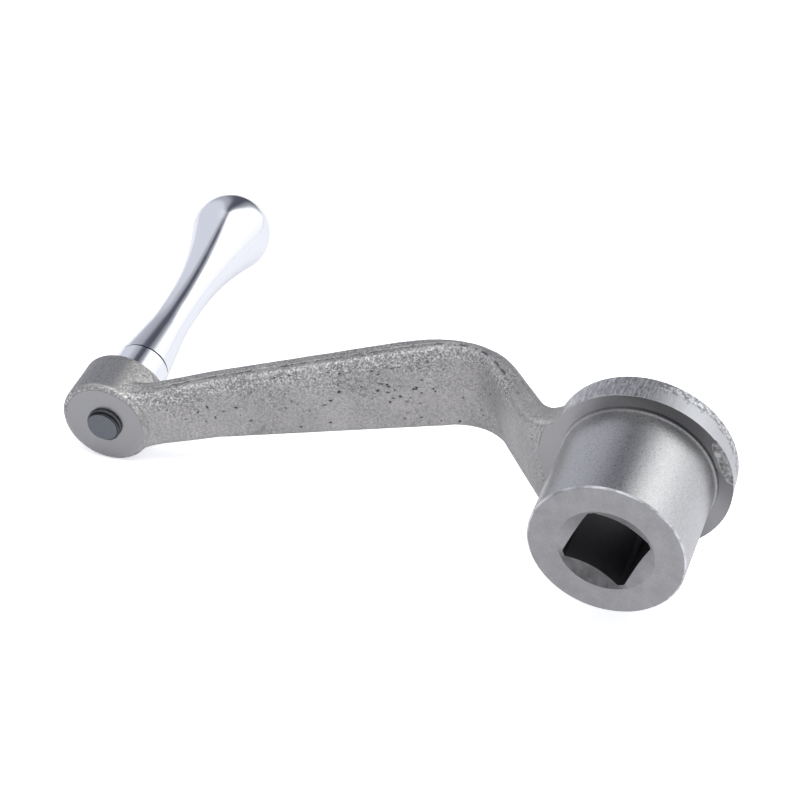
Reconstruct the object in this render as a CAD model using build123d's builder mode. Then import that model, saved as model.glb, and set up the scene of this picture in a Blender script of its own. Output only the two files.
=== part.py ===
"""Cranked crank handle, 125 mm throw, with a square drive socket and a revolving handle.

Frame: the origin is on the shaft axis, at the mouth of the drive socket. The socket opens
towards +Y, the crank arm runs along +X, and the handle points towards -Y. Millimetres.
"""
import os
from math import asin, degrees, radians, tan

from build123d import *

# driving dimensions of the cast arm: the hub is a long boss on a thinner disc
throw = 125.0
boss_radius = 16.1
boss_length = 24.3
boss_edge_chamfer = 0.4
step_radius = 16.6
step_height = 0.35
disc_radius = 19.6
disc_back_radius = 19.1
disc_thickness = 7.5
disc_back_edge = 0.8
facing_radius = 20.9
facing_depth = 6.0

# square drive socket, broached right through the hub
square_across_flats = 14.0
square_across_corners = 18.4
square_turn = 35.0
socket_mouth_radius = 9.9
socket_mouth_angle = 60.0

# crank arm, side view: front and back faces each run out of the disc, bend down, bend back
# up into a long straight and level out at the handle boss
front_root_y = -23.8
front_first_bend_x = 21.6
front_first_bend_radius = 8.0
front_second_bend_x = 41.8
front_second_bend_y = -50.8
front_second_bend_radius = 14.5
back_root_y = -30.3
back_first_bend_x = 19.2
back_first_bend_radius = 5.0
back_second_bend_x = 41.1
back_second_bend_y = -56.85
back_second_bend_radius = 28.5
arm_slope = 0.235
lift_start_x = 101.0
lift_end_x = 117.0
lift_radius = 20.0
arm_tip_thickness = 6.6

# crank arm, front view: even in width over the bends, then a straight taper to the handle boss
arm_root_half_width = 11.65
taper_start_x = 35.0
arm_tip_half_width = 6.3
root_fillet = 9.0
tip_fillet = 12.0
cast_edge_radius = 1.6
outline_inset = 0.2

# handle boss at the end of the arm
handle_boss_radius = 10.4
handle_boss_back_radius = 10.25
handle_boss_front_y = -31.15
handle_boss_back_y = -43.1
handle_boss_front_edge = 1.2
handle_boss_back_edge = 0.3
stud_hole_radius = 4.0
arm_sinkage = 0.2

# raw patch on the rim of the disc, where the casting lies too low for the facing cut
raw_patch_turn = 168.8
raw_patch_distance = 17.4
raw_patch_slope = 14.0
raw_patch_length = 12.0
raw_patch_corner = 2.5

# spindle of the revolving handle: stud, collar and shank turned from one bar
thread_radius = 3.97
stud_projection = 1.45
stud_chamfer = 0.5
collar_radius = 6.2
collar_length = 9.2
collar_edge = 0.25
shank_radius = 2.95
shank_length = 46.0

# sleeve that turns on the spindle
sleeve_gap = 0.2
sleeve_bore_radius = 3.0
bore_spare_depth = 1.5
neck_radius = 4.25
cone_end_at = 15.6
cone_blend_radius = 50.0
neck_end_at = 23.5
bulb_radius = 9.45
bulb_at = 53.7

# split snap ring in facing grooves of spindle and sleeve, which keeps the sleeve on
ring_inner_radius = 2.65
ring_outer_radius = 3.45
ring_thickness = 0.8
ring_gap_angle = 50.0
ring_at = 42.0
groove_width = 1.0
spindle_groove_radius = 2.6
sleeve_groove_radius = 3.6

front_lift_start_y = front_second_bend_y + arm_slope * (lift_start_x - front_second_bend_x)
back_lift_start_y = back_second_bend_y + arm_slope * (lift_start_x - back_second_bend_x)
front_tip_y = handle_boss_front_y - arm_sinkage
back_tip_y = front_tip_y - arm_tip_thickness
boss_base_y = -boss_length
disc_back_y = boss_base_y - disc_thickness
stud_tip_y = handle_boss_front_y + stud_projection
collar_end_y = handle_boss_back_y - collar_length
sleeve_start_y = collar_end_y - sleeve_gap
ring_y = sleeve_start_y - ring_at
swell_reach = bulb_at - neck_end_at
swell_radius = (swell_reach**2 + neck_radius**2 - bulb_radius**2) / (bulb_radius - neck_radius) / 2
swell_angle = degrees(asin(swell_reach / (swell_radius + bulb_radius)))
bore_depth = sleeve_gap + shank_length + bore_spare_depth
grip_axis = Axis((throw, 0, 0), (0, -1, 0))
patch_direction = Vector(1, 0, 0).rotate(Axis.Y, -raw_patch_turn)
patch_hinge = Axis((0, 0, 0), Vector(0, 1, 0).cross(patch_direction))
raw_patch_plane = Plane(
    origin=patch_direction * raw_patch_distance + Vector(0, boss_base_y, 0),
    x_dir=patch_direction.rotate(patch_hinge, raw_patch_slope),
    z_dir=Vector(0, 1, 0).rotate(patch_hinge, raw_patch_slope),
)


def facing_minus_y(y):
    """Plane square to the shaft axis at height y: local x runs along the arm, local y is up."""
    return Plane(origin=(0, y, 0), x_dir=(1, 0, 0), z_dir=(0, -1, 0))


# The arm as it leaves the mould: the bent band of the side view cut to the tapered outline
# of the front view, with every edge rounded. The hub face is then turned flat, which trims
# the root of the arm as well.
with BuildPart() as arm_blank:
    with BuildSketch(Plane.XY):
        with BuildLine():
            front_line = FilletPolyline(
                (0, front_root_y),
                (front_first_bend_x, front_root_y),
                (front_second_bend_x, front_second_bend_y),
                (lift_start_x, front_lift_start_y),
                (lift_end_x, front_tip_y),
                (throw, front_tip_y),
                radius=(front_first_bend_radius, front_second_bend_radius, lift_radius, lift_radius),
            )
            back_line = FilletPolyline(
                (0, back_root_y),
                (back_first_bend_x, back_root_y),
                (back_second_bend_x, back_second_bend_y),
                (lift_start_x, back_lift_start_y),
                (lift_end_x, back_tip_y),
                (throw, back_tip_y),
                radius=(back_first_bend_radius, back_second_bend_radius, lift_radius, lift_radius),
            )
            Line(front_line @ 0, back_line @ 0)
            Line(front_line @ 1, back_line @ 1)
        make_face()
    extrude(amount=disc_radius, both=True)
    with BuildSketch(facing_minus_y(0)) as arm_outline:
        Circle(disc_back_radius - outline_inset)
        with Locations((throw, 0)):
            Circle(handle_boss_back_radius - outline_inset)
        Polygon(
            (0, arm_root_half_width),
            (taper_start_x, arm_root_half_width),
            (throw, arm_tip_half_width),
            (throw, -arm_tip_half_width),
            (taper_start_x, -arm_root_half_width),
            (0, -arm_root_half_width),
            align=None,
        )
        root_corners = arm_outline.vertices().sort_by(Axis.X)[:2]
        fillet(root_corners, root_fillet)
        tip_corners = arm_outline.vertices().sort_by(Axis.X)[-2:]
        fillet(tip_corners, tip_fillet)
    extrude(amount=-disc_back_y * 2, mode=Mode.INTERSECT)
    outline_edges = arm_blank.edges().filter_by(lambda e: abs(e.tangent_at(0.5).Y) < 0.99)
    fillet(outline_edges, cast_edge_radius)
    with BuildSketch(facing_minus_y(boss_base_y)):
        Circle(facing_radius)
    extrude(amount=-facing_depth, mode=Mode.SUBTRACT)

with BuildPart() as cranked_arm:
    add(arm_blank.part)

    # hub: boss, fine step at its foot and drafted disc, turned about the shaft axis
    with BuildSketch(Plane.XY):
        with BuildLine():
            Polyline(
                (0, 0),
                (boss_radius - boss_edge_chamfer, 0),
                (boss_radius, -boss_edge_chamfer),
                (boss_radius, boss_base_y + step_height),
                (step_radius, boss_base_y + step_height),
                (step_radius, boss_base_y),
                (disc_radius, boss_base_y),
                (disc_back_radius, disc_back_y),
                (0, disc_back_y),
                close=True,
            )
        hub_section = make_face()
        back_corner = hub_section.vertices().sort_by_distance((disc_back_radius, disc_back_y))[0]
        chamfer(back_corner, disc_back_edge)
    revolve(axis=Axis.Y)

    # handle boss, drafted, with a cast round in front and a machined edge behind
    with BuildSketch(Plane.XY) as handle_boss_section:
        Polygon(
            (throw, handle_boss_front_y),
            (throw + handle_boss_radius, handle_boss_front_y),
            (throw + handle_boss_back_radius, handle_boss_back_y),
            (throw, handle_boss_back_y),
            align=None,
        )
        back_corner, front_corner = handle_boss_section.vertices().sort_by(Axis.X)[-2:].sort_by(Axis.Y)
        chamfer(back_corner, handle_boss_back_edge)
        fillet(front_corner, handle_boss_front_edge)
    revolve(axis=grip_axis)

    # raw patch, falling away from the turned face to the rim
    with BuildSketch(raw_patch_plane):
        RectangleRounded(
            disc_radius, raw_patch_length, raw_patch_corner, align=(Align.MIN, Align.CENTER)
        )
    extrude(amount=disc_thickness, mode=Mode.SUBTRACT)

    # square socket with its corners cut back to a circle, and a conical mouth
    with BuildSketch(facing_minus_y(0)):
        Circle(square_across_corners / 2)
        Rectangle(
            square_across_flats, square_across_flats, rotation=square_turn, mode=Mode.INTERSECT
        )
    extrude(amount=-disc_back_y, mode=Mode.SUBTRACT)
    with BuildSketch(Plane.XY):
        Polygon(
            (0, 0),
            (socket_mouth_radius, 0),
            (0, -socket_mouth_radius / tan(radians(socket_mouth_angle))),
            align=None,
        )
    revolve(axis=Axis.Y, mode=Mode.SUBTRACT)

    # hole for the handle's stud
    with BuildSketch(facing_minus_y(handle_boss_front_y)):
        with Locations((throw, 0)):
            Circle(stud_hole_radius)
    extrude(amount=handle_boss_front_y - handle_boss_back_y, mode=Mode.SUBTRACT)

with BuildPart() as spindle:
    with BuildSketch(Plane.XY) as spindle_section:
        Polygon(
            (throw, stud_tip_y),
            (throw + thread_radius - stud_chamfer, stud_tip_y),
            (throw + thread_radius, stud_tip_y - stud_chamfer),
            (throw + thread_radius, handle_boss_back_y),
            (throw + collar_radius - collar_edge, handle_boss_back_y),
            (throw + collar_radius, handle_boss_back_y - collar_edge),
            (throw + collar_radius, collar_end_y + collar_edge),
            (throw + collar_radius - collar_edge, collar_end_y),
            (throw + shank_radius, collar_end_y),
            (throw + shank_radius, collar_end_y - shank_length + stud_chamfer),
            (throw + shank_radius - stud_chamfer, collar_end_y - shank_length),
            (throw, collar_end_y - shank_length),
            align=None,
        )
        with Locations((throw + shank_radius, ring_y)):
            Rectangle(2 * (shank_radius - spindle_groove_radius), groove_width, mode=Mode.SUBTRACT)
    revolve(axis=grip_axis)

# The sleeve narrows in a cone from the collar to a slim neck, then swells in an arc that runs
# tangent into the ball at its tip. It is blind at the tip and has a groove for the ring.
with BuildPart() as sleeve:
    with BuildSketch(Plane.XY):
        with BuildLine():
            Line((throw, sleeve_start_y), (throw + collar_radius, sleeve_start_y))
            neck_line = FilletPolyline(
                (throw + collar_radius, sleeve_start_y),
                (throw + neck_radius, sleeve_start_y - cone_end_at),
                (throw + neck_radius, sleeve_start_y - neck_end_at),
                radius=cone_blend_radius,
            )
            swell_arc = JernArc(neck_line @ 1, (0, -1), swell_radius, swell_angle)
            ball_arc = JernArc(swell_arc @ 1, swell_arc % 1, bulb_radius, -90 - swell_angle)
            Line(ball_arc @ 1, (throw, sleeve_start_y))
        make_face()
    revolve(axis=grip_axis)
    with BuildSketch(Plane.XY):
        with Locations((throw, sleeve_start_y)):
            Rectangle(sleeve_bore_radius, bore_depth, align=(Align.MIN, Align.MAX))
        with Locations((throw, ring_y)):
            Rectangle(sleeve_groove_radius, groove_width, align=(Align.MIN, Align.CENTER))
    revolve(axis=grip_axis, mode=Mode.SUBTRACT)

with BuildPart() as retaining_ring:
    with BuildSketch(Plane.XY):
        with Locations((throw + ring_inner_radius, ring_y)):
            Rectangle(
                ring_outer_radius - ring_inner_radius, ring_thickness, align=(Align.MIN, Align.CENTER)
            )
    revolve(axis=grip_axis, revolution_arc=360 - ring_gap_angle)

pieces = {
    "cranked_arm": cranked_arm,
    "handle_spindle": spindle,
    "handle_sleeve": sleeve,
    "retaining_ring": retaining_ring,
}
os.makedirs("parts", exist_ok=True)
for name, piece in pieces.items():
    piece.part.label = name
    export_step(piece.part, f"parts/{name}.step")
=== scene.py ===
"""Looks of the cranked crank handle: a blasted iron casting with machined hub and faces, a
threaded stud and a chromed revolving grip.

Everything is in metres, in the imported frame: the shaft axis is Y, the arm runs along +X and
the grip points towards -Y.
"""
import math
import random

import bmesh
import bpy
from mathutils import Matrix, Vector, noise
from mathutils.bvhtree import BVHTree
from mathutils.kdtree import KDTree


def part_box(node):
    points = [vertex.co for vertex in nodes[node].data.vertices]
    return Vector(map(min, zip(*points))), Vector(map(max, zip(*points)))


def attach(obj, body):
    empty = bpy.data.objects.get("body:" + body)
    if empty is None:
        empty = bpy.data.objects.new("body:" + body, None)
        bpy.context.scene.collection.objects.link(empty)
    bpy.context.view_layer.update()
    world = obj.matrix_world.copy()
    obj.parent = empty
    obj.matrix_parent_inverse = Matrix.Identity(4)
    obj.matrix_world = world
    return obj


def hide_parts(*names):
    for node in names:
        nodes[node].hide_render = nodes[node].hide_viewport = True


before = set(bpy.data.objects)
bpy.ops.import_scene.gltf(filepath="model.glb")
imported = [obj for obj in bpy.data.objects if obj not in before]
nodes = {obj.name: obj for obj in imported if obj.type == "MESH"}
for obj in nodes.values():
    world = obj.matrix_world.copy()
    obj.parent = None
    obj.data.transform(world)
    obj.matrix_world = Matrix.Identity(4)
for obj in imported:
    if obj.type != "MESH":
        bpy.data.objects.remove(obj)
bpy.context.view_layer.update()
MM = 0.001

# levels of the frame
sleeve_low, sleeve_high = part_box("handle_sleeve")
throw = (sleeve_low.x + sleeve_high.x) / 2
stud_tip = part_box("handle_spindle")[1].y

boss_radius = 16.1 * MM
boss_edge = 0.4 * MM
mouth_radius = 9.9 * MM
mouth_slope = math.tan(math.radians(30))
socket_radius = 9.6 * MM
facing_level = -24.3 * MM
facing_radius = 20.9 * MM
disc_radius = 19.6 * MM
disc_back = -31.8 * MM
disc_back_radius = 18.4 * MM
rim_taper = 0.5 / 7.5
rim_front = disc_radius - facing_level * rim_taper

raw_patch_turn = math.radians(168.8)
raw_patch_distance = 17.4 * MM
raw_patch_length = 12.0 * MM
raw_patch_depth = 0.65 * MM

ground_face_level = -31.15 * MM
ground_face_radius = 9.25 * MM
small_boss_back = -43.1 * MM
small_boss_radius = 11.0 * MM
stud_hole_radius = 4.2 * MM
thread_radius = 3.97 * MM

arm_half_width = 11.65 * MM
taper_start = 35.0 * MM
arm_taper = 5.35 / 90
hair = 0.02 * MM

# the crank lies on boss, disc and grip: the table is square to this direction
table_up = Vector((-0.154, -0.1225, 0.980)).normalized()


# ---------------------------------------------------------------- skin of the casting
# pits left by sand in the front of the arm, by the patches they gather in
pit_patches = (
    # x, z, spread along x, spread along z (mm), how many
    (61.0, 0.0, 4.2, 2.6, 34),
    (66.0, 8.0, 7.0, 2.0, 9),
    (86.0, 8.0, 8.0, 1.6, 7),
    (101.0, 1.4, 3.5, 1.8, 10),
    (60.0, -6.0, 11.0, 3.5, 6),
    (36.0, 4.5, 3.0, 2.5, 5),
    (75.0, 0.0, 26.0, 6.0, 18),
)
scattered_patch = 6  # the wide one, whose pits are in the arm's back as well
pit_low_x, pit_high_x = 30 * MM, 112 * MM

# longest edge wanted in each part of the skin
front_step = 0.9 * MM
back_step = 1.5 * MM
pit_step = 0.18 * MM
seam_step = 0.28 * MM
patch_step = 0.22 * MM
halvings = 11

seam_start = 24.0 * MM
seam_end = 113.5 * MM
seam_fade = 4.0 * MM
ridge_width = 0.24 * MM
trench_offset = 0.42 * MM
trench_width = 0.25 * MM

smoothings = 3
smoothing_factor = 0.4


def clamped(value, high=1.0):
    return max(0.0, min(high, value))


def merged_copy(node):
    shape = bmesh.new()
    shape.from_mesh(nodes[node].data)
    bmesh.ops.remove_doubles(shape, verts=shape.verts, dist=0.002 * MM)
    return shape


def mark_corners(shape, least_angle):
    """Smooth shading, broken at every edge that turns by more than the angle in degrees."""
    for face in shape.faces:
        face.smooth = True
    for edge in shape.edges:
        edge.smooth = edge.calc_face_angle(0.0) < math.radians(least_angle)


def finished_piece(shape, name, weight=50):
    """Turns the shape into a piece in the scene, with normals that keep flat faces even."""
    mesh = bpy.data.meshes.new(name)
    shape.to_mesh(mesh)
    shape.free()
    piece = bpy.data.objects.new(name, mesh)
    bpy.context.collection.objects.link(piece)
    even = piece.modifiers.new("even_flats", "WEIGHTED_NORMAL")
    even.keep_sharp = True
    even.weight = weight
    return piece


def machined(p):
    """True where a tool has cut the casting: hub, socket, ground faces and the stud's hole."""
    off_hub = math.hypot(p.x, p.z)
    off_tip = math.hypot(p.x - throw, p.z)
    if off_tip < stud_hole_radius or off_hub < mouth_radius:
        return True
    if off_tip < small_boss_radius and p.y < small_boss_back + hair:
        return True
    if p.y > facing_level - hair and off_hub < facing_radius + hair:
        return True
    if p.y < disc_back + hair and off_hub < disc_radius:
        return True
    return off_tip < ground_face_radius and p.y > ground_face_level - hair


def on_raw_patch(p):
    """True in the low place in the disc's face, which the facing cut has missed."""
    rim = disc_radius + (p.y - facing_level) * rim_taper
    if not facing_level - raw_patch_depth < p.y < facing_level - hair:
        return False
    if math.hypot(p.x, p.z) > rim - hair:
        return False
    out = p.x * math.cos(raw_patch_turn) + p.z * math.sin(raw_patch_turn)
    across = p.z * math.cos(raw_patch_turn) - p.x * math.sin(raw_patch_turn)
    return out > raw_patch_distance - hair and abs(across) < raw_patch_length / 2 + hair


def coarseness(p, n):
    """How rough the skin is, 0 to 1: finest low on the arm's front, roughest along its top."""
    if p.x < 28 * MM or (p.x > throw - 5 * MM and n.y < 0.6):
        return 0.0
    front = clamped(n.y + 0.4)
    rise = clamped((p.z / MM + 3.0) / 12.0)
    half_width = arm_half_width - max(0.0, p.x - taper_start) * arm_taper
    below_edge = min(0.8, (p.z - half_width) / (4.5 * MM) + 1.3)
    edge = max(0.0, min(1.0, 2.4 * (n.z - 0.1)), below_edge)
    return front * max(0.55 * rise, edge)


def rim_fade(p):
    """0 at the disc's front edge, which the facing cut has left crisp, and 1 away from it."""
    if p.x < 14 * MM and math.hypot(p.x, p.z) > disc_radius - 1 * MM:
        return clamped((facing_level - p.y) / (1.2 * MM))
    return 1.0


class PartingSeam:
    """Line at half the arm's depth, where the two halves of the mould met."""

    step = 1.0 * MM

    def __init__(self, solid):
        self.levels = []
        x = seam_start - self.step
        while x < seam_end + 2 * self.step:
            front = solid.ray_cast(Vector((x, 0.05, 0)), Vector((0, -1, 0)))[0]
            back = solid.ray_cast(Vector((x, -0.2, 0)), Vector((0, 1, 0)))[0]
            self.levels.append((front.y + back.y) / 2)
            x += self.step

    def offset(self, p):
        """How far p stands in front of the line, square to it, or None past the line's ends."""
        if not seam_start < p.x < seam_end:
            return None
        place = (p.x - seam_start) / self.step + 1
        index = int(place)
        low, high = self.levels[index], self.levels[index + 1]
        level = low + (high - low) * (place - index)
        return (p.y - level) / math.hypot(1, (high - low) / self.step)

    def relief(self, p, n):
        """Height in mm of the seam's broken lip and trench at p, and how much painted shade its
        trench takes there.
        """
        offset = self.offset(p)
        if offset is None or abs(n.z) <= 0.6:
            return 0.0, 0.0
        run = p.x / MM + (7.0 if n.z > 0 else 311.0)
        ends = min(1.0, (p.x - seam_start) / seam_fade, (seam_end - p.x) / seam_fade)
        lip = 0.09 + 0.12 * noise.noise(Vector((run * 0.55, 0, 3)))
        lip += 0.06 * noise.noise(Vector((run * 2.1, 5, 0)))
        ridge = math.exp(-((offset / ridge_width) ** 2)) * ends
        gap = clamped(noise.noise(Vector((run * 0.5, 9, 1))) * 6.0 + 0.45)
        trench = math.exp(-(((offset - trench_offset) / trench_width) ** 2)) * ends * gap
        # painted shade in the trench under the lip
        recess_shade = min(1.0, trench * 1.25) * (0.75 + 0.5 * noise.noise(p * 1500))
        return ridge * max(0.0, lip) - 0.14 * trench, recess_shade


class SandPits:
    """Pits in the arm's skin, each a place and a radius."""

    def __init__(self, solid):
        self.solid = solid
        self.rng = random.Random(11)
        pits = []
        for number, (x, z, spread_x, spread_z, count) in enumerate(pit_patches):
            for _ in range(count):
                px = self.rng.gauss(x, spread_x) * MM
                pz = self.rng.gauss(z, spread_z) * MM
                pits.append(self.pit_at(px, pz, 1))
                if number == scattered_patch:
                    pits.append(self.pit_at(px, -pz, -1))
        pits = [pit for pit in pits if pit]
        self.radii = [radius for _, radius in pits]
        self.tree = KDTree(len(pits))
        for index, (place, _) in enumerate(pits):
            self.tree.insert(place, index)
        self.tree.balance()

    def pit_at(self, x, z, side):
        radius = self.rng.triangular(0.12, 0.40, 0.18) * MM
        start = Vector((x, 0.05 if side > 0 else -0.2, z))
        hit = self.solid.ray_cast(start, Vector((0, -side, 0)))[0]
        if hit is None or not pit_low_x < x < pit_high_x:
            return None
        return hit, radius

    def nearest(self, p):
        """Distance to the nearest pit's middle, and that pit's radius."""
        _, index, distance = self.tree.find(p)
        return distance, self.radii[index]

    def relief(self, p):
        """Height in mm of the nearest pit at p, and how much painted shade it takes there."""
        distance, radius = self.nearest(p)
        distance *= 1.0 + 0.55 * noise.noise(p * 2600)
        if distance >= radius:
            return 0.0, 0.0
        hollow = 1 - (distance / radius) ** 2
        return -hollow * radius * 0.75 / MM, min(1.0, hollow * 1.6)


def larger_part(face, first, second):
    """Cuts the face between two of its corners and gives the part with more corners."""
    other, _ = bmesh.utils.face_split(face, first, second)
    return face if len(face.verts) > len(other.verts) else other


def split_into_triangles(face, middles):
    """Splits a triangle that has new corners in the middle of one, two or three edges."""
    ring = list(face.verts)
    count = len(ring)
    is_middle = [v in middles for v in ring]
    start = next(
        i for i in range(count) if is_middle[i] and (count == 4 or is_middle[(i + 2) % count])
    )
    ring = ring[start:] + ring[:start]
    if count == 4:
        bmesh.utils.face_split(face, ring[0], ring[2])
        return
    rest = larger_part(face, ring[0], ring[2])
    if count == 6:
        rest = larger_part(rest, ring[2], ring[4])
        bmesh.utils.face_split(rest, ring[4], ring[0])
    elif (ring[0].co - ring[3].co).length < (ring[2].co - ring[4].co).length:
        bmesh.utils.face_split(rest, ring[0], ring[3])
    else:
        bmesh.utils.face_split(rest, ring[2], ring[4])


def refine(shape, wanted):
    """Halves the edges of cast faces until none is longer than wanted there."""
    for _ in range(halvings):
        long_edges = []
        for edge in shape.edges:
            length = edge.calc_length()
            if length <= pit_step or length <= wanted((edge.verts[0].co + edge.verts[1].co) / 2):
                continue
            if any(not machined(face.calc_center_median()) for face in edge.link_faces):
                long_edges.append(edge)
        if not long_edges:
            break
        middles = [bmesh.utils.edge_split(edge, edge.verts[0], 0.5)[1] for edge in long_edges]
        added = set(middles)
        for face in dict.fromkeys(face for v in middles for face in v.link_faces):
            split_into_triangles(face, added)


def build_casting():
    shape = merged_copy("cranked_arm")
    # amount of painted shade at each corner: seam trench, pits and the raw patch's low crumbs
    recess_shade_layer = shape.verts.layers.float.new("recess_shade")
    coarse_layer = shape.verts.layers.float.new("coarse")
    raw_layer = shape.verts.layers.float.new("raw")
    mark_corners(shape, 28)
    solid = BVHTree.FromBMesh(shape)
    seam = PartingSeam(solid)
    pits = SandPits(solid)

    def wanted(p):
        distance, radius = pits.nearest(p)
        if distance < radius * 1.15:
            return pit_step
        if on_raw_patch(p):
            return patch_step
        offset = seam.offset(p)
        if offset is None:
            return front_step
        if -0.4 * MM < offset < 0.7 * MM and abs(p.z) > 5 * MM:
            return seam_step
        return front_step if offset > 0 else back_step

    refine(shape, wanted)
    skin = [
        v for v in shape.verts
        if not machined(v.co) and all(e.smooth for e in v.link_edges)
    ]
    for _ in range(smoothings):
        bmesh.ops.smooth_vert(
            shape, verts=skin, factor=smoothing_factor,
            use_axis_x=True, use_axis_y=True, use_axis_z=True,
        )
    shape.normal_update()

    moves = []
    for v in skin:
        p, n = v.co, v.normal
        coarse = coarseness(p, n)
        seam_height, seam_shade = seam.relief(p, n)
        pit_height, pit_shade = pits.relief(p)
        height = 0.045 * noise.noise(p * 160)
        height += (0.014 + 0.030 * coarse) * noise.noise(p * 520)
        height += 0.022 * coarse * noise.noise(p * 1000)
        height += seam_height + pit_height
        recess_shade = max(seam_shade, pit_shade)
        if on_raw_patch(p):
            crumbs = noise.noise(p * 1400) * 0.10 + noise.noise(p * 700) * 0.14
            height += crumbs - 0.10
            # painted shade in the patch's low crumbs
            recess_shade = max(recess_shade, clamped(-crumbs * 6, 0.75))
            v[raw_layer] = 1.0
        else:
            height *= rim_fade(p)
        v[recess_shade_layer] = recess_shade
        v[coarse_layer] = coarse
        moves.append((v, n * height * MM))
    for v, move in moves:
        v.co += move

    casting = finished_piece(shape, "blasted_casting", weight=60)
    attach(casting, "crank")
    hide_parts("cranked_arm")
    return casting


# ---------------------------------------------------------------- stud with its thread
thread_start = ground_face_level - 0.6 * MM
thread_pitch = 1.25 * MM
thread_depth = 0.62 * MM
thread_end_radius = 3.42 * MM
thread_columns, thread_rows = 72, 32
end_face_inset = 0.12


def thread_surface(turn, y):
    """Radius of the thread at a part of a turn and a level, less at its chamfered end."""
    phase = (y / thread_pitch + turn) % 1.0
    flank = clamped(abs(phase - 0.5) * 2.6 - 0.15)
    end_limit = thread_end_radius + (stud_tip - y) * 1.1
    return min(thread_radius - thread_depth * flank, end_limit)


def join_rings(shape, low, high):
    for index, corner in enumerate(low):
        after = (index + 1) % len(low)
        shape.faces.new((corner, high[index], high[after], low[after]))


def build_spindle():
    """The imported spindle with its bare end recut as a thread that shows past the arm."""
    shape = merged_copy("handle_spindle")
    parts = list(shape.verts) + list(shape.edges) + list(shape.faces)
    bmesh.ops.bisect_plane(
        shape, geom=parts, plane_co=(0, thread_start, 0), plane_no=(0, 1, 0), clear_outer=True
    )
    bmesh.ops.holes_fill(shape, edges=[e for e in shape.edges if e.is_boundary])

    rings = []
    for row in range(thread_rows + 1):
        y = thread_start + (stud_tip - thread_start) * row / thread_rows
        ring = []
        for column in range(thread_columns):
            turn = column / thread_columns
            angle = 2 * math.pi * turn
            radius = thread_surface(turn, y)
            place = (throw + radius * math.cos(angle), y, radius * math.sin(angle))
            ring.append(shape.verts.new(place))
        rings.append(ring)
    tip_middle = Vector((throw, stud_tip, 0))
    rings.append([shape.verts.new(v.co.lerp(tip_middle, end_face_inset)) for v in rings[-1]])
    for low, high in zip(rings, rings[1:]):
        join_rings(shape, low, high)
    shape.faces.new(rings[0])
    shape.faces.new(list(reversed(rings[-1])))
    bmesh.ops.recalc_face_normals(shape, faces=shape.faces)
    mark_corners(shape, 35)

    spindle = finished_piece(shape, "threaded_spindle")
    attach(spindle, "crank")
    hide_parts("handle_spindle")
    return spindle


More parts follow.
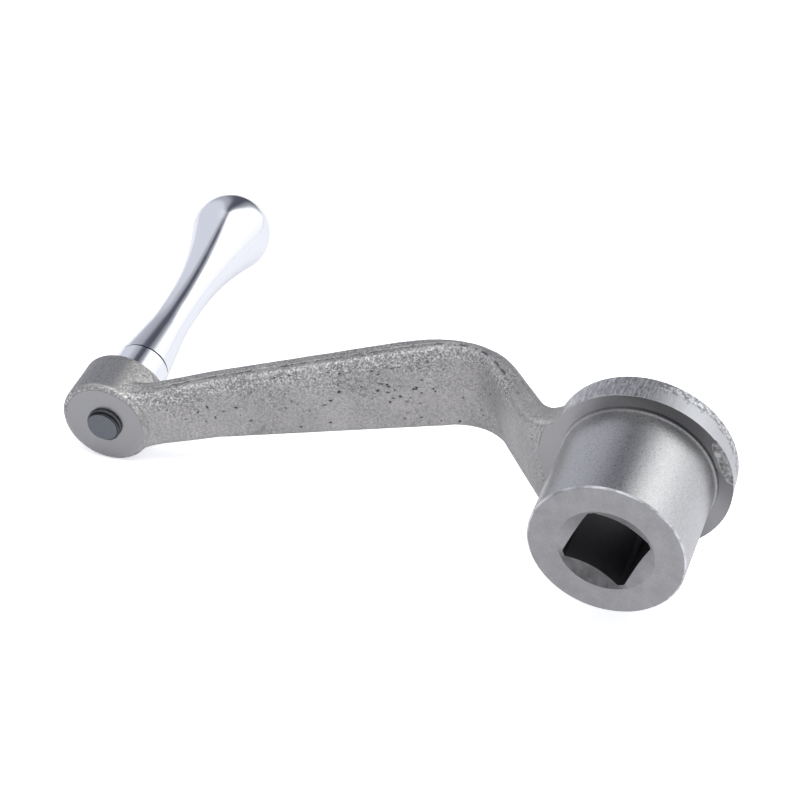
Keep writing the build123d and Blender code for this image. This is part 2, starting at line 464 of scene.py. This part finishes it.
# ---------------------------------------------------------------- node helpers
class Shade:
    """A material or world node tree with short calls for the usual nodes."""

    def __init__(self, tree):
        self.tree = tree
        tree.nodes.clear()

    def add(self, kind, **settings):
        made = self.tree.nodes.new(kind)
        for key, value in settings.items():
            setattr(made, key, value)
        return made

    def put(self, socket, value):
        if isinstance(value, bpy.types.NodeSocket):
            self.tree.links.new(value, socket)
        else:
            socket.default_value = value

    def math(self, operation, first, second=0.0, clamp=False):
        made = self.add("ShaderNodeMath", operation=operation, use_clamp=clamp)
        self.put(made.inputs[0], first)
        self.put(made.inputs[1], second)
        return made.outputs[0]

    def plus(self, first, second):
        return self.math("ADD", first, second)

    def minus(self, first, second):
        return self.math("SUBTRACT", first, second)

    def times(self, first, second):
        return self.math("MULTIPLY", first, second)

    def largest(self, first, *others):
        for other in others:
            first = self.math("MAXIMUM", first, other)
        return first

    def vector(self, operation, first, second=(0, 0, 0)):
        made = self.add("ShaderNodeVectorMath", operation=operation)
        self.put(made.inputs[0], first)
        if operation != "LENGTH":
            self.put(made.inputs[1], second)
        return made.outputs["Value" if operation in ("DOT_PRODUCT", "LENGTH") else "Vector"]

    def stretched(self, where, x, y, z):
        return self.vector("MULTIPLY", where, (x, y, z))

    def scaled(self, color, factor):
        made = self.add("ShaderNodeVectorMath", operation="SCALE")
        self.put(made.inputs[0], color)
        self.put(made.inputs["Scale"], factor)
        return made.outputs[0]

    def mix(self, factor, first, second):
        """Colour between two colours."""
        made = self.add("ShaderNodeMix", data_type="RGBA")
        for index, value in ((0, factor), (6, first), (7, second)):
            self.put(made.inputs[index], value)
        return made.outputs[2]

    def blend(self, factor, first, second):
        """Number between two numbers."""
        made = self.add("ShaderNodeMix", data_type="FLOAT")
        for index, value in ((0, factor), (2, first), (3, second)):
            self.put(made.inputs[index], value)
        return made.outputs[0]

    def ramp(self, value, low, high, start=0.0, end=1.0):
        """Smooth step from start to end as value goes from low to high."""
        made = self.add("ShaderNodeMapRange", interpolation_type="SMOOTHSTEP")
        for socket, given in zip(made.inputs, (value, low, high, start, end)):
            self.put(socket, given)
        return made.outputs[0]

    def above(self, value, level, blur=0.02 * MM):
        return self.ramp(value, level - blur, level + blur)

    def below(self, value, level, blur=0.02 * MM):
        return self.ramp(value, level - blur, level + blur, 1.0, 0.0)

    def noise(self, where, scale, detail=3.0, roughness=0.55):
        made = self.add("ShaderNodeTexNoise")
        self.put(made.inputs["Vector"], where)
        made.inputs["Scale"].default_value = scale
        made.inputs["Detail"].default_value = detail
        made.inputs["Roughness"].default_value = roughness
        return made.outputs["Fac"]

    def cells(self, where, scale):
        made = self.add("ShaderNodeTexVoronoi", feature="F1")
        self.put(made.inputs["Vector"], where)
        made.inputs["Scale"].default_value = scale
        return made.outputs["Distance"]

    def bump(self, height, strength, distance):
        made = self.add("ShaderNodeBump")
        made.inputs["Strength"].default_value = strength
        made.inputs["Distance"].default_value = distance
        self.put(made.inputs["Height"], height)
        return made.outputs[0]

    def attribute(self, name):
        return self.add("ShaderNodeAttribute", attribute_name=name).outputs["Fac"]

    def coordinates(self):
        return self.add("ShaderNodeTexCoord").outputs["Object"]

    def split(self, where):
        made = self.add("ShaderNodeSeparateXYZ")
        self.put(made.inputs[0], where)
        return made.outputs

    def join(self, x, y, z):
        made = self.add("ShaderNodeCombineXYZ")
        for socket, value in zip(made.inputs, (x, y, z)):
            self.put(socket, value)
        return made.outputs[0]

    def off_axis(self, x, z):
        """Distance from an axis along Y, for x and z measured from it."""
        return self.vector("LENGTH", self.join(x, 0.0, z))

    def finish(self, color, metallic, roughness, normal=None):
        shader = self.add("ShaderNodeBsdfPrincipled")
        self.put(shader.inputs["Base Color"], color)
        self.put(shader.inputs["Metallic"], metallic)
        self.put(shader.inputs["Roughness"], roughness)
        if normal is not None:
            self.put(shader.inputs["Normal"], normal)
        self.output("ShaderNodeOutputMaterial", shader)

    def output(self, kind, shader):
        self.tree.links.new(shader.outputs[0], self.add(kind).inputs[0])


def new_material(name):
    material = bpy.data.materials.new(name)
    material.use_nodes = True
    return material, material.node_tree


# ---------------------------------------------------------------- materials
class CastingShade(Shade):
    """The casting's nodes: cast skin, rim of the disc and cut faces, told apart by place."""

    def __init__(self, tree):
        super().__init__(tree)
        self.where = self.coordinates()
        self.x, self.y, self.z = self.split(self.where)
        self.off_hub = self.off_axis(self.x, self.z)
        self.off_tip = self.off_axis(self.minus(self.x, throw), self.z)
        self.recess_shade = self.attribute("recess_shade")
        self.coarse = self.attribute("coarse")
        self.raw = self.attribute("raw")
        self.grain = self.noise(self.where, 2000.0, 4.0, 0.75)
        self.crumb = self.noise(self.where, 850.0, 3.0, 0.65)

    def pinholes(self):
        """Fine holes that gather in patches."""
        holes = self.ramp(self.cells(self.where, 620.0), 0.10, 0.2, 1.0, 0.0)
        return self.times(holes, self.ramp(self.noise(self.where, 60.0, 2.0), 0.55, 0.65))

    def cast_skin(self, pinholes, dark):
        """Grey grain, cloudy, with painted shade in its pits, bright where the blast has peened
        it.
        """
        cloud = self.noise(self.where, 70.0, 3.0, 0.6)
        color = self.mix(
            self.ramp(cloud, 0.3, 0.7), (0.425, 0.412, 0.400, 1), (0.51, 0.494, 0.480, 1)
        )
        on_small_boss = self.times(
            self.ramp(self.x, throw - 6 * MM, throw - 3 * MM),
            self.below(self.y, ground_face_level - 1.0 * MM, 0.5 * MM),
        )
        color = self.mix(on_small_boss, color, (0.31, 0.307, 0.31, 1))

        patchy = self.ramp(self.noise(self.where, 110.0, 3.0, 0.6), 0.4, 0.62)
        patchy = self.plus(self.times(patchy, 0.5), 0.65)
        contrast = self.ramp(self.coarse, 0.0, 0.5, 0.5, 1.0)
        contrast = self.math("MULTIPLY", contrast, patchy, clamp=True)
        shadowed, peened = self.scaled(color, 0.54), self.scaled(color, 1.28)
        speckled = self.mix(self.ramp(self.grain, 0.38, 0.62), shadowed, peened)
        hollows = self.ramp(self.crumb, 0.54, 0.66, 0.0, 0.62)
        speckled = self.mix(hollows, speckled, (0.15, 0.147, 0.145, 1))
        color = self.mix(contrast, color, speckled)
        # painted glints: near-white specks along the rough top of the arm
        glints = self.times(
            self.ramp(self.coarse, 0.45, 0.85), self.ramp(self.grain, 0.50, 0.63)
        )
        color = self.mix(glints, color, (0.80, 0.79, 0.79, 1))
        crumbly = self.mix(
            self.ramp(self.crumb, 0.42, 0.6), (0.24, 0.236, 0.233, 1), (0.48, 0.475, 0.47, 1)
        )
        color = self.mix(self.raw, color, crumbly)
        # painted shade in pits, pinholes, the seam's trench and the raw patch's low places
        color = self.mix(dark, color, (0.085, 0.083, 0.082, 1))

        speck = self.noise(self.where, 4200.0, 2.0, 0.6)
        lumps = self.plus(
            self.times(self.crumb, 1.3), self.plus(self.grain, self.times(speck, 0.4))
        )
        lumps = self.times(lumps, self.plus(self.times(self.coarse, 1.1), 1.0))
        height = self.minus(lumps, self.times(pinholes, 1.4))
        return color, self.ramp(self.grain, 0.3, 0.7, 0.56, 0.42), height

    def on_rim(self):
        rim_level = self.minus(self.off_hub, self.times(self.y, rim_taper))
        outside = self.ramp(rim_level, rim_front - 0.10 * MM, rim_front - 0.05 * MM)
        on_disc = self.times(
            self.below(self.off_hub, 20.2 * MM), self.below(self.x, 14.0 * MM, 1.0 * MM)
        )
        outside = self.times(outside, on_disc)
        return self.times(outside, self.below(self.y, facing_level, 0.01 * MM))

    def disc_rim(self, dark):
        """Scratched along the shaft, scraped bright towards the front, rough behind."""
        scratch = self.noise(self.stretched(self.where, 1.0, 0.12, 1.0), 2600.0, 3.0, 0.7)
        wander = self.minus(self.noise(self.where, 210.0, 5.0, 0.7), 0.5)
        wander = self.plus(self.y, self.times(wander, 9.0 * MM))
        scraped = self.times(
            self.ramp(wander, -28.3 * MM, -27.9 * MM),
            self.ramp(self.x, -8.0 * MM, -3.5 * MM, 0.92, 0.0),
        )
        bruised = self.times(
            self.ramp(wander, -28.4 * MM, -28.9 * MM),
            self.ramp(self.x, -7.0 * MM, -4.0 * MM, 1.0, 0.0),
        )
        color = self.mix(
            self.ramp(scratch, 0.36, 0.66), (0.31, 0.308, 0.31, 1), (0.68, 0.678, 0.685, 1)
        )
        color = self.mix(
            self.ramp(self.crumb, 0.54, 0.66, 0.0, 0.6), color, (0.17, 0.168, 0.17, 1)
        )
        color = self.mix(scraped, color, (0.56, 0.56, 0.57, 1))
        grit = self.ramp(self.noise(self.where, 1300.0, 3.0, 0.7), 0.4, 0.62)
        gritty = self.mix(grit, (0.24, 0.238, 0.24, 1), (0.70, 0.70, 0.71, 1))
        color = self.mix(bruised, color, gritty)
        burr = self.times(
            self.above(self.y, facing_level - 0.12 * MM, 0.05 * MM),
            self.ramp(self.noise(self.where, 420.0, 2.0), 0.42, 0.58),
        )
        burr = self.times(burr, self.ramp(self.x, -5.0 * MM, 0.0))
        color = self.mix(burr, color, (0.85, 0.85, 0.87, 1))
        # painted shade in the pinholes
        color = self.mix(dark, color, (0.05, 0.05, 0.052, 1))
        return color, 0.38, self.plus(self.times(scratch, 0.8), self.times(self.grain, 0.5))

    def cut_faces(self):
        """Turned hub side with a blasted tooth, ground ends, and painted shade in the socket, on
        its mouth and on the disc's upper side.
        """
        near_side = self.below(self.off_hub, boss_radius + 0.2 * MM)
        on_disc = self.times(
            self.below(self.y, -20.0 * MM),
            self.ramp(self.off_hub, boss_radius + 0.2 * MM, boss_radius + 0.3 * MM),
        )
        on_side = self.times(
            self.ramp(self.off_hub, boss_radius - 0.2 * MM, boss_radius - 0.1 * MM),
            self.times(near_side, self.below(self.y, -0.3 * MM)),
        )
        on_chamfer = self.times(
            self.ramp(self.off_hub, 15.72 * MM, 15.78 * MM),
            self.times(self.above(self.y, -boss_edge - 0.02 * MM), near_side),
        )

        tooth = self.noise(self.where, 2500.0, 3.0, 0.7)
        smears_and_shade_patches = self.noise(self.where, 240.0, 4.0, 0.65)
        side_color = self.mix(
            self.ramp(tooth, 0.34, 0.66), (0.49, 0.486, 0.482, 1), (0.62, 0.615, 0.612, 1)
        )
        face_color = self.mix(
            self.ramp(smears_and_shade_patches, 0.3, 0.7), (0.345, 0.338, 0.34, 1), (0.40, 0.394, 0.395, 1)
        )
        face_color = self.mix(
            self.ramp(tooth, 0.36, 0.64), self.scaled(face_color, 0.93),
            self.scaled(face_color, 1.06),
        )
        # painted shade: the disc's turned face darker on its upper side
        upper_side = self.plus(self.times(self.x, -0.85), self.times(self.z, 0.53))
        disc_color_with_painted_shade = self.mix(
            self.ramp(upper_side, 6.0 * MM, 16.0 * MM),
            (0.385, 0.381, 0.382, 1), (0.20, 0.198, 0.20, 1),
        )
        color = self.mix(on_disc, face_color, disc_color_with_painted_shade)
        color = self.mix(on_side, color, side_color)
        worn_edge = self.times(on_chamfer, self.ramp(smears_and_shade_patches, 0.35, 0.6))
        color = self.mix(worn_edge, color, (0.78, 0.78, 0.80, 1))

        # painted shade on the lower side of the socket's mouth, broken into patches
        low_side = self.plus(self.times(self.x, 0.6), self.times(self.z, -0.8))
        mouth_painted_shade = self.times(
            self.ramp(low_side, 5.2 * MM, 7.6 * MM),
            self.times(
                self.below(self.off_hub, mouth_radius), self.ramp(smears_and_shade_patches, 0.3, 0.6, 0.6, 1.0)
            ),
        )
        mouth_painted_shade = self.times(mouth_painted_shade, self.above(self.y, -8.0 * MM))
        color = self.mix(mouth_painted_shade, color, (0.14, 0.138, 0.136, 1))
        # painted shade inside the socket, past the mouth's cone
        cone_level = self.times(self.minus(mouth_radius, self.off_hub), mouth_slope)
        past_mouth = self.above(self.plus(self.y, cone_level), -0.1 * MM, 0.06 * MM)
        in_socket = self.times(
            self.below(self.off_hub, socket_radius), self.minus(1.0, past_mouth)
        )
        in_socket = self.times(in_socket, self.above(self.y, disc_back + 0.1 * MM, 0.05 * MM))
        color = self.mix(in_socket, color, (0.10, 0.099, 0.103, 1))

        roughness = self.blend(
            on_side, self.blend(on_disc, 0.46, 0.27), self.ramp(tooth, 0.3, 0.7, 0.27, 0.35)
        )
        side_rings = self.noise(self.join(0.0, self.y, 0.0), 7000.0, 2.0, 0.6)
        face_rings = self.noise(self.join(self.off_hub, 0.0, 0.0), 6000.0, 2.0, 0.6)
        tooth_depth = self.blend(on_side, self.blend(on_disc, 0.7, 0.2), 0.6)
        height = self.plus(
            self.times(self.plus(side_rings, face_rings), 0.10), self.times(tooth, tooth_depth)
        )
        return color, roughness, height

    def is_cut(self):
        on_front = self.times(
            self.above(self.y, facing_level - 0.03 * MM), self.below(self.off_hub, facing_radius)
        )
        on_back = self.times(
            self.below(self.y, disc_back + 0.02 * MM), self.below(self.off_hub, disc_back_radius)
        )
        on_tip = self.times(
            self.above(self.y, ground_face_level - 0.04 * MM),
            self.below(self.off_tip, ground_face_radius, 0.1 * MM),
        )
        in_bore = self.below(self.off_hub, mouth_radius)
        return self.largest(on_front, on_tip, on_back, in_bore)


def casting_material():
    """Blasted iron as cast, and the cut faces of hub and ends."""
    material, tree = new_material("blasted_cast_iron")
    s = CastingShade(tree)
    pinholes = s.pinholes()
    # painted shade: dark in the seam's trench, the pits, the raw patch's low crumbs and the
    # pinholes
    dark = s.largest(s.recess_shade, s.times(pinholes, 0.85))
    cast_color, cast_roughness, cast_height = s.cast_skin(pinholes, dark)
    rim_color, rim_roughness, rim_height = s.disc_rim(dark)
    cut_color, cut_roughness, cut_height = s.cut_faces()
    on_rim, cut = s.on_rim(), s.is_cut()

    color = s.mix(cut, s.mix(on_rim, cast_color, rim_color), cut_color)
    roughness = s.blend(cut, s.blend(on_rim, cast_roughness, rim_roughness), cut_roughness)
    height = s.blend(cut, s.blend(on_rim, cast_height, rim_height), cut_height)
    s.finish(color, s.blend(cut, 0.85, 1.0), roughness, s.bump(height, 1.0, 0.07 * MM))
    return material


chrome = (0.93, 0.935, 0.96, 1)


def chrome_material():
    """Bright chrome plate, a little cloudy where hands have rubbed it."""
    material, tree = new_material("bright_chrome")
    s = Shade(tree)
    where = s.coordinates()
    haze = s.noise(where, 220.0, 4.0, 0.6)
    swirl = s.noise(s.stretched(where, 1.0, 12.0, 1.0), 900.0, 2.0, 0.5)
    roughness = s.ramp(haze, 0.35, 0.7, 0.11, 0.16)
    s.finish(chrome, 1.0, roughness, s.bump(swirl, 0.12, 0.01 * MM))
    return material


def spindle_material():
    """Chromed collar; the stud end in the arm is bare blued steel, its thread darker towards the
    roots with painted shade.
    """
    material, tree = new_material("spindle_chrome_and_steel")
    s = Shade(tree)
    where = s.coordinates()
    x, y, z = s.split(where)
    on_stud = s.ramp(y, small_boss_back + 0.05 * MM, small_boss_back + 0.15 * MM)
    scratches = s.noise(s.stretched(where, 1.0, 1.0, 7.0), 2200.0, 3.0, 0.6)
    steel = s.mix(
        s.ramp(scratches, 0.3, 0.7), (0.155, 0.163, 0.178, 1), (0.20, 0.21, 0.228, 1)
    )
    # painted shade in the thread's grooves: darker towards the roots
    crests = s.ramp(s.off_axis(s.minus(x, throw), z), 3.45 * MM, 3.95 * MM)
    thread = s.mix(crests, (0.02, 0.02, 0.022, 1), (0.15, 0.15, 0.155, 1))
    past_end = s.ramp(y, stud_tip - 0.12 * MM, stud_tip - 0.06 * MM, 1.0, 0.0)
    steel = s.mix(past_end, steel, thread)
    color = s.mix(on_stud, chrome, steel)
    s.finish(color, 1.0, s.blend(on_stud, 0.08, 0.42), s.bump(scratches, 0.25, 0.02 * MM))
    return material


def spring_steel_material():
    """Plain spring steel of the hidden ring."""
    material, tree = new_material("spring_steel")
    s = Shade(tree)
    grain = s.noise(s.coordinates(), 2500.0)
    s.finish(s.mix(grain, (0.3, 0.3, 0.31, 1), (0.4, 0.4, 0.41, 1)), 1.0, 0.3)
    return material


def dress(node, material):
    for slot in nodes[node].material_slots:
        slot.material = material


dress("handle_sleeve", chrome_material())
dress("retaining_ring", spring_steel_material())
casting = build_casting()
casting.data.materials.append(casting_material())
spindle = build_spindle()
spindle.data.materials.append(spindle_material())


# ---------------------------------------------------------------- table, light and camera
table_reach = 3.0


def lowest_on_table():
    return min(table_up.dot(v.co) for node in nodes.values() for v in node.data.vertices)


def add_table():
    """Pale table under the crank. It shows a little brighter to the camera than its light."""
    side = table_up.cross(Vector((0, 1, 0))).normalized()
    ahead = side.cross(table_up)
    centre = table_up * lowest_on_table() + side * 0.05
    corners = [
        centre + (side * a + ahead * b) * table_reach
        for a, b in ((-1, -1), (1, -1), (1, 1), (-1, 1))
    ]
    mesh = bpy.data.meshes.new("table")
    mesh.from_pydata([tuple(corner) for corner in corners], [], [(0, 1, 2, 3)])
    if mesh.polygons[0].normal.dot(table_up) < 0:
        mesh.flip_normals()
    table = bpy.data.objects.new("table", mesh)
    bpy.context.collection.objects.link(table)

    material, tree = new_material("pale_table")
    s = Shade(tree)
    to_camera = s.add("ShaderNodeLightPath").outputs["Is Camera Ray"]
    diffuse = s.add("ShaderNodeBsdfDiffuse")
    diffuse.inputs["Color"].default_value = (0.80, 0.80, 0.82, 1)
    glow = s.add("ShaderNodeEmission")
    glow.inputs["Color"].default_value = (0.98, 0.98, 1.0, 1)
    s.put(glow.inputs["Strength"], s.times(to_camera, 0.62))
    together = s.add("ShaderNodeAddShader")
    s.put(together.inputs[0], diffuse.outputs[0])
    s.put(together.inputs[1], glow.outputs[0])
    s.output("ShaderNodeOutputMaterial", together)
    mesh.materials.append(material)


# brightness of the walls round the table: bearing in degrees from -Y towards +X, level
wall_lights = (
    (-180, 0.38), (-110, 0.60), (-80, 1.50), (-37, 1.56), (-15, 0.30), (-4, 0.085),
    (8, 0.10), (23, 0.40), (42, 0.68), (75, 0.68), (110, 0.46), (180, 0.38),
)
overhead_toward = (0.15, 0.2, 0.97)


def add_walls(s, bearing):
    walls = s.add("ShaderNodeValToRGB")
    walls.color_ramp.interpolation = "EASE"
    s.put(walls.inputs[0], s.plus(s.math("DIVIDE", bearing, 2 * math.pi), 0.5))
    stops = walls.color_ramp.elements
    for degrees, level in wall_lights:
        place = degrees / 360 + 0.5
        stop = stops.new(place) if 0 < place < 1 else stops[0 if degrees < 0 else -1]
        cool = 1.35 if level < 0.2 else 1.12 if level < 0.8 else 1.02
        stop.color = (level * 0.97, level, level * cool, 1)
    return walls.outputs[0]


def add_world():
    """Studio round the table: a bright wall to the right of the back, a softer one to the left,
    a dim gap between them, a dim room in front and a soft box overhead."""
    world = bpy.data.worlds.new("studio")
    world.use_nodes = True
    bpy.context.scene.world = world
    s = Shade(world.node_tree)
    toward = s.add("ShaderNodeTexCoord").outputs["Generated"]
    x, y, z = s.split(toward)
    lean = s.ramp(z, 0.0, 0.85, math.radians(8), math.radians(-7))
    bearing = s.minus(s.math("ARCTAN2", x, s.times(y, -1.0)), lean)
    walls = add_walls(s, bearing)

    # the bright wall is a little paler near the table
    near_table = s.minus(1.0, s.ramp(z, 0.02, 0.34))
    bright_side = s.ramp(bearing, math.radians(-26), math.radians(-40))
    paler = s.mix(0.8, walls, (0.92, 0.92, 0.98, 1))
    walls = s.mix(s.times(bright_side, near_table), walls, paler)

    box_middle = tuple(Vector(overhead_toward).normalized())
    overhead = s.ramp(s.vector("DOT_PRODUCT", toward, box_middle), 0.90, 0.96)
    studio = s.mix(overhead, walls, (1.9, 1.9, 1.9, 1))
    to_camera = s.add("ShaderNodeLightPath").outputs["Is Camera Ray"]
    background = s.add("ShaderNodeBackground")
    s.put(background.inputs["Color"], s.mix(to_camera, studio, (1, 1, 1, 1)))
    s.output("ShaderNodeOutputWorld", background)


def aimed(place, target, up):
    ahead = (Vector(target) - Vector(place)).normalized()
    side = ahead.cross(Vector(up)).normalized()
    turn = Matrix((side, side.cross(ahead), -ahead)).transposed()
    return Matrix.Translation(place) @ turn.to_4x4()


def add_key_lamp():
    lamp = bpy.data.lights.new("key", "AREA")
    lamp.shape = "RECTANGLE"
    lamp.size = lamp.size_y = 0.5
    lamp.energy = 3.0
    holder = bpy.data.objects.new("key", lamp)
    bpy.context.collection.objects.link(holder)
    holder.matrix_world = aimed((-0.35, 0.05, 0.75), (0.06, -0.04, 0.0), (0.0, 0.01, 1.0))


def add_camera():
    data = bpy.data.cameras.new("camera")
    data.sensor_width = 36.0
    data.lens = 117.0
    data.clip_start = 0.01
    data.clip_end = 20.0
    camera = bpy.data.objects.new("camera", data)
    bpy.context.collection.objects.link(camera)
    camera.matrix_world = aimed(
        (-0.1543, 0.3613, 0.3221), (0.0541, -0.0352, 0.0072), (0.0418, -0.6078, 0.7930)
    )
    bpy.context.scene.camera = camera


add_table()
add_world()
add_key_lamp()
add_camera()
bpy.context.scene.view_settings.view_transform = "Standard"
